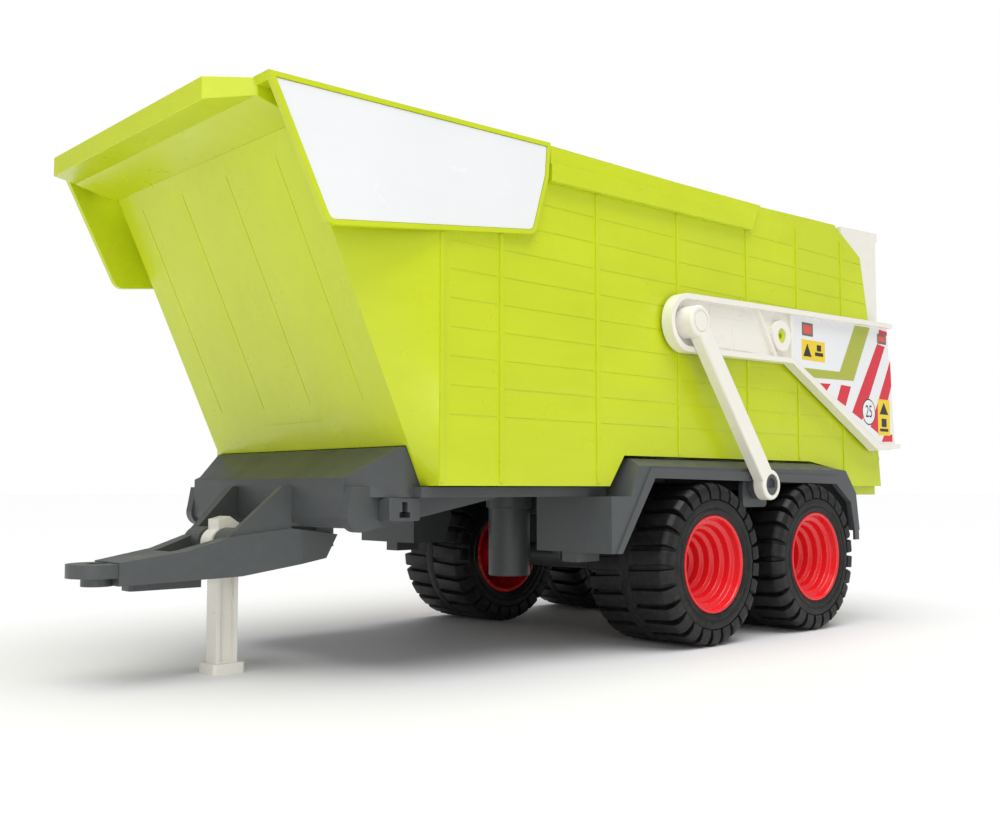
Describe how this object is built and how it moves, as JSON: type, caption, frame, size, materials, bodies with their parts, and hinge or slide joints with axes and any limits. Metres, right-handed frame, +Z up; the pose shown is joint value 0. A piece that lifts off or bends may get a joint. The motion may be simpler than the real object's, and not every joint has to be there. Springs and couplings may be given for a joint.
{
  "type": "grain cart",
  "caption": "Toy tipping farm trailer: open tub on a bogie chassis with mudguards, drawbar, stand leg and a link-worked tailgate.",
  "frame": {"origin": "middle of the overall length and width, on the ground", "axes": "+X along the drawbar towards the hitch eye, +Y to the trailer's left, +Z up; tub lowered, tailgate shut, leg down"},
  "size_m": [0.3746, 0.1614, 0.1865],
  "materials": {
    "green_plastic": "lime green moulded plastic, satin gloss",
    "grey_plastic": "dark blue-grey moulded plastic, fine grain",
    "white_plastic": "warm white moulded plastic, satin gloss",
    "rim_red": "bright red moulded plastic, gloss",
    "tyre": "black moulded tyre, matte",
    "steel": "plain steel pin, ground"
  },
  "bodies": {
    "chassis": {"chassis_frame": "grey_plastic", "keyhole_lug_left": "grey_plastic", "keyhole_lug_right": "grey_plastic", "mudguard_left": "grey_plastic", "mudguard_right": "grey_plastic", "mudguard_screws": "steel", "bogie_frame": "grey_plastic", "axle_front": "steel", "axle_rear": "steel", "axle_caps": "steel", "ram_housing": "grey_plastic", "ram_portal": "grey_plastic", "link_pin_left": "grey_plastic", "link_pin_right": "grey_plastic", "body_hinge_pin": "steel", "drawbar": "grey_plastic", "drawbar_hanger": "grey_plastic", "drawbar_dowel": "grey_plastic", "leg_pin": "steel"},
    "tipper_body": {"tub_side_left": "green_plastic", "tub_side_right": "green_plastic", "tub_front_wall": "green_plastic", "tub_floor": "green_plastic", "tub_hood": "green_plastic", "shield_left": "green_plastic", "shield_right": "green_plastic", "shield_panel_left": "white_plastic", "shield_panel_right": "white_plastic", "top_rail_left": "green_plastic", "top_rail_right": "green_plastic", "gate_pivot_left": "green_plastic", "gate_pivot_right": "green_plastic"},
    "tailgate": {"gate_panel": "white_plastic", "gate_cheek_left": "white_plastic", "gate_cheek_right": "white_plastic"},
    "link_left": {"link_arm_left": "white_plastic"},
    "link_right": {"link_arm_right": "white_plastic"},
    "support_leg": {"support_leg": "white_plastic"},
    "wheel_front_left": {"tyre_front_left": "tyre", "rim_front_left": "rim_red"},
    "wheel_front_right": {"tyre_front_right": "tyre", "rim_front_right": "rim_red"},
    "wheel_rear_left": {"tyre_rear_left": "tyre", "rim_rear_left": "rim_red"},
    "wheel_rear_right": {"tyre_rear_right": "tyre", "rim_rear_right": "rim_red"}
  },
  "joints": [
    {"name": "body_tip", "type": "hinge", "parent": "chassis", "child": "tipper_body", "pos_m": [-0.1475, 0, 0.0615], "axis": [0, -1, 0], "range_deg": [0, 40]},
    {"name": "gate_swing", "type": "hinge", "parent": "tipper_body", "child": "tailgate", "pos_m": [-0.0856, 0, 0.1255], "axis": [0, 1, 0], "range_deg": [0, 49]},
    {"name": "link_left_swing", "type": "hinge", "parent": "chassis", "child": "link_left", "pos_m": [-0.0677, 0, 0.0622], "axis": [0, -1, 0], "range_deg": [0, 44]},
    {"name": "link_right_swing", "type": "hinge", "parent": "chassis", "child": "link_right", "pos_m": [-0.0677, 0, 0.0622], "axis": [0, -1, 0], "range_deg": [0, 44]},
    {"name": "leg_fold", "type": "hinge", "parent": "chassis", "child": "support_leg", "pos_m": [0.1367, 0, 0.0427], "axis": [0, 1, 0], "range_deg": [0, 70]},
    {"name": "wheel_front_left_spin", "type": "hinge", "parent": "chassis", "child": "wheel_front_left", "pos_m": [-0.0328, 0, 0.0315], "axis": [0, 1, 0], "continuous": true},
    {"name": "wheel_front_right_spin", "type": "hinge", "parent": "chassis", "child": "wheel_front_right", "pos_m": [-0.0328, 0, 0.0315], "axis": [0, 1, 0], "continuous": true},
    {"name": "wheel_rear_left_spin", "type": "hinge", "parent": "chassis", "child": "wheel_rear_left", "pos_m": [-0.1062, 0, 0.0315], "axis": [0, 1, 0], "continuous": true},
    {"name": "wheel_rear_right_spin", "type": "hinge", "parent": "chassis", "child": "wheel_rear_right", "pos_m": [-0.1062, 0, 0.0315], "axis": [0, 1, 0], "continuous": true}
  ],
  "couplings": [
    {"joint": "gate_swing", "follows": "body_tip", "ratio": 1.213},
    {"joint": "link_left_swing", "follows": "body_tip", "ratio": 1.09},
    {"joint": "link_right_swing", "follows": "body_tip", "ratio": 1.09}
  ]
}
